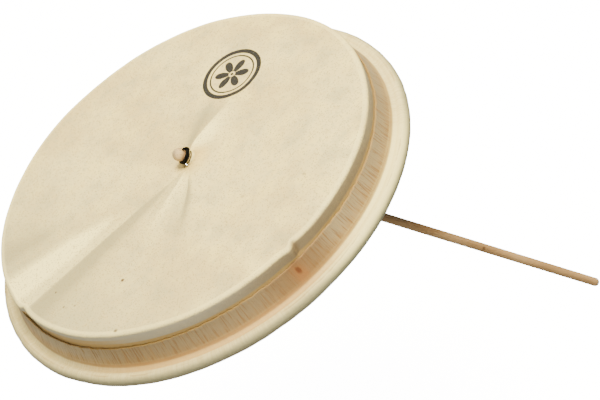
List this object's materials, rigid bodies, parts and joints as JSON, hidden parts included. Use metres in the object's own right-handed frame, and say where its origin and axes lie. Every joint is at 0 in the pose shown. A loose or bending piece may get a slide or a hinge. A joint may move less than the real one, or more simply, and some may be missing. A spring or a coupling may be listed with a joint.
{
  "type": "friction drum head",
  "caption": "Rawhide head for a friction drum: skin lapped on a round hoop, with a deep collar, and a thin stick tied into its middle that leans and works in and out.",
  "frame": {"origin": "where the head's axis meets the outer plane of the playing face, which is where a drum shell holds the head", "axes": "+Z along the head's axis, out of the playing face; the stick leans from straight down towards +X"},
  "size_m": [0.3109, 0.2768, 0.2509],
  "materials": {
    "hide_face": "dry natural rawhide, matt",
    "hide_rim": "dry natural rawhide, matt, with hair grain",
    "hoop_steel": "drawn rod",
    "bamboo": "sanded, unvarnished",
    "black_cord": "waxed black cord"
  },
  "bodies": {
    "head": {"skin_rim": "hide_rim", "skin_face": "hide_face", "flesh_hoop": "hoop_steel"},
    "cone": {"skin_cone": "hide_face"},
    "neck": {"skin_neck": "hide_face"},
    "stick": {"bamboo_stick": "bamboo", "skin_pouch": "hide_face", "tie_cord": "black_cord"}
  },
  "joints": [
    {"name": "skin_press", "type": "slide", "parent": "head", "child": "cone", "axis": [0, 0, 1], "range_m": [-0.003, 0.003], "stiffness_N_per_m": 400},
    {"name": "stick_lean", "type": "hinge", "parent": "cone", "child": "neck", "pos_m": [0.0092, 0, 0.00235], "axis": [0, -1, 0], "range_deg": [-41, 10], "stiffness_Nm_per_rad": 0.2, "springref_deg": 1.15},
    {"name": "stick_sway", "type": "hinge", "parent": "neck", "child": "stick", "pos_m": [0.0092, 0, 0.00235], "axis": [0.829, 0, 0.5592], "range_deg": [-15, 15], "stiffness_Nm_per_rad": 0.2}
  ]
}
